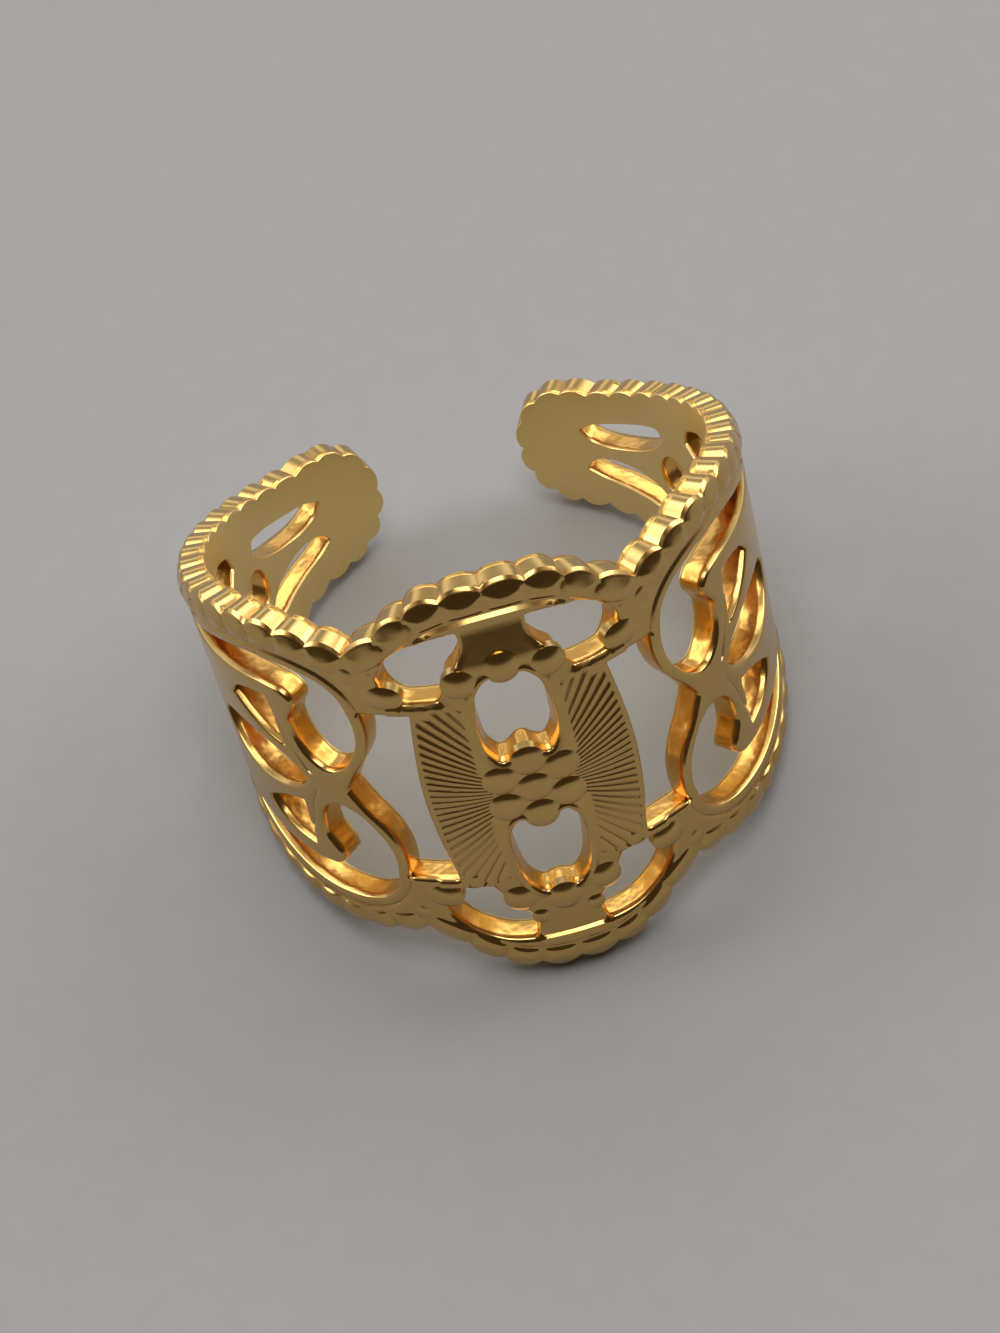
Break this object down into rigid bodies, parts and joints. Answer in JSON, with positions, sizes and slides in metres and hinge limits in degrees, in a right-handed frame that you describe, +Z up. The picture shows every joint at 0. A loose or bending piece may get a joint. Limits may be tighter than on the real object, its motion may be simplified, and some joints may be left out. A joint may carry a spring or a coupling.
{
  "type": "open filigree finger ring",
  "caption": "Open-backed finger ring: wide pierced band with a beaded, scalloped rim, a sunburst plate with a bead cluster in front, curled scrolls at the sides, rounded slotted tabs behind.",
  "frame": {"origin": "centre of the underside of the bounding box, on the surface that the ring lies on", "axes": "+Z up from that surface; -Y towards the front plate and +Y towards the open back; +X to the ring's right, seen from the front. The ring lies on its side, tipped back 18.8 degrees, and its own axis is the axis of the mount finger_bore"},
  "size_m": [0.02, 0.0212, 0.0165],
  "materials": {
    "gold_plate": "polished gold-coloured plating outside, satin inside"
  },
  "bodies": {
    "root": {"openwork_band": "gold_plate"}
  },
  "joints": []
}
